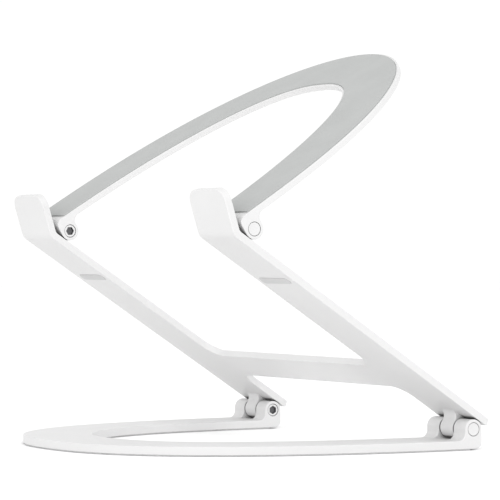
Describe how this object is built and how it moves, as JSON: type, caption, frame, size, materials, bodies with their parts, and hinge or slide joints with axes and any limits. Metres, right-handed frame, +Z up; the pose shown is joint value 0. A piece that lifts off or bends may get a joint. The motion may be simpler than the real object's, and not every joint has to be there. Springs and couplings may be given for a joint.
{
  "type": "laptop stand",
  "caption": "Folding laptop stand: U-shaped base, sloping H-shaped arms with bent hooks, and a padded U-shaped top ring, joined by friction hinges.",
  "frame": {"origin": "centre of the bounding box in X and Y, on the desk plane", "axes": "+X to the stand's right as its user sees it from the front, +Y from the user to the back, +Z up"},
  "size_m": [0.24, 0.199, 0.2137],
  "materials": {
    "white_metal": "satin white coat on aluminium plate",
    "grey_silicone": "matt silicone sheet",
    "screw_steel": "plain steel",
    "friction_washer": "matt polymer",
    "bush_bronze": "plain bearing bronze"
  },
  "bodies": {
    "base": {"base_ring": "white_metal", "base_foot_pad": "grey_silicone", "right_base_screw": "screw_steel", "right_base_nut": "white_metal", "right_base_inner_washer": "friction_washer", "right_base_outer_washer": "friction_washer", "right_base_disc_springs": "screw_steel", "left_base_screw": "screw_steel", "left_base_nut": "white_metal", "left_base_inner_washer": "friction_washer", "left_base_outer_washer": "friction_washer", "left_base_disc_springs": "screw_steel"},
    "arms": {"arm_frame": "white_metal", "right_arm_bumper": "grey_silicone", "right_hook_pad": "grey_silicone", "right_base_bush": "bush_bronze", "right_top_bush": "bush_bronze", "left_arm_bumper": "grey_silicone", "left_hook_pad": "grey_silicone", "left_base_bush": "bush_bronze", "left_top_bush": "bush_bronze"},
    "ring": {"top_ring": "white_metal", "top_ring_pad": "grey_silicone", "right_top_screw": "screw_steel", "right_top_nut": "white_metal", "right_top_inner_washer": "friction_washer", "right_top_outer_washer": "friction_washer", "right_top_disc_springs": "screw_steel", "left_top_screw": "screw_steel", "left_top_nut": "white_metal", "left_top_inner_washer": "friction_washer", "left_top_outer_washer": "friction_washer", "left_top_disc_springs": "screw_steel"}
  },
  "joints": [
    {"name": "arm_fold", "type": "hinge", "parent": "base", "child": "arms", "pos_m": [0, 0.08855, 0.0108], "axis": [1, 0, 0], "range_deg": [-56.9, 33.1]},
    {"name": "ring_tilt", "type": "hinge", "parent": "arms", "child": "ring", "pos_m": [0, -0.04358, 0.11502], "axis": [1, 0, 0], "range_deg": [-65.1, 15]}
  ]
}
